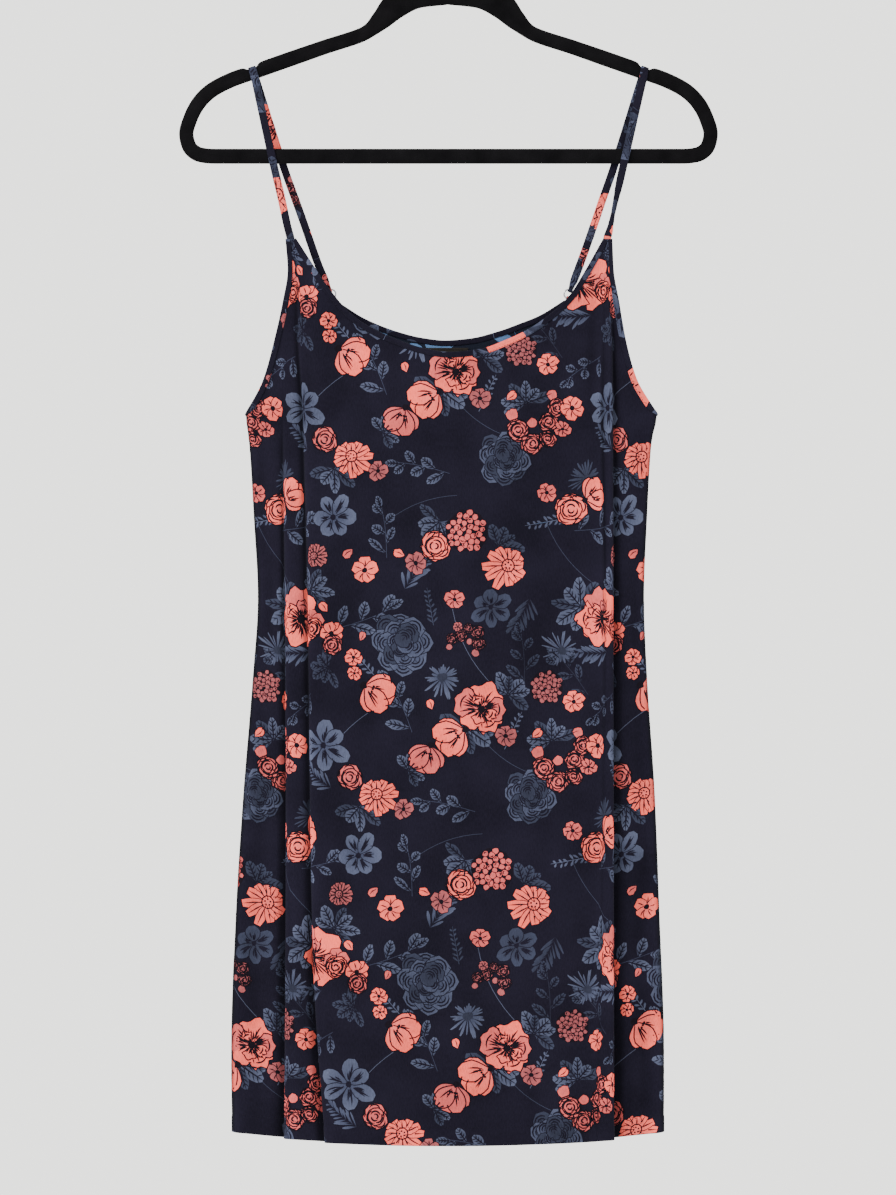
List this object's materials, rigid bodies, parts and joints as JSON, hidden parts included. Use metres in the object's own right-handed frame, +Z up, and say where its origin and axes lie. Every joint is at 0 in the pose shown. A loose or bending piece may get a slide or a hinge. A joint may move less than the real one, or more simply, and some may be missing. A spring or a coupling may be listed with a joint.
{
  "type": "strappy mini dress on a clothes hanger",
  "caption": "Sleeveless mini slip dress in floral woven cloth with narrow shoulder straps, hanging flat on a flocked notched hanger with a metal hook.",
  "frame": {"origin": "the inner top of the hanger's hook, where it rests on a rail", "axes": "+Z up, -Y out of the dress's front towards the viewer, +X to the viewer's right along the hanger"},
  "size_m": [0.4464, 0.0487, 1.0436],
  "materials": {
    "printed_cloth": "matte woven cloth printed with flowers on a dark navy ground",
    "label_tape": "plain dark woven tape",
    "bright_metal": "polished wire",
    "hanger_flock": "black flock over moulded plastic"
  },
  "bodies": {
    "root": {"front_panel": "printed_cloth", "back_panel": "printed_cloth", "neck_binding_front": "printed_cloth", "neck_binding_back": "printed_cloth", "armhole_binding_front_left": "printed_cloth", "armhole_binding_front_right": "printed_cloth", "armhole_binding_back_left": "printed_cloth", "armhole_binding_back_right": "printed_cloth", "strap_left": "printed_cloth", "strap_right": "printed_cloth", "back_tab_left": "printed_cloth", "back_tab_right": "printed_cloth", "ring_left": "bright_metal", "ring_right": "bright_metal", "label": "label_tape", "hanger_frame": "hanger_flock", "hanger_hook": "bright_metal"}
  },
  "joints": []
}
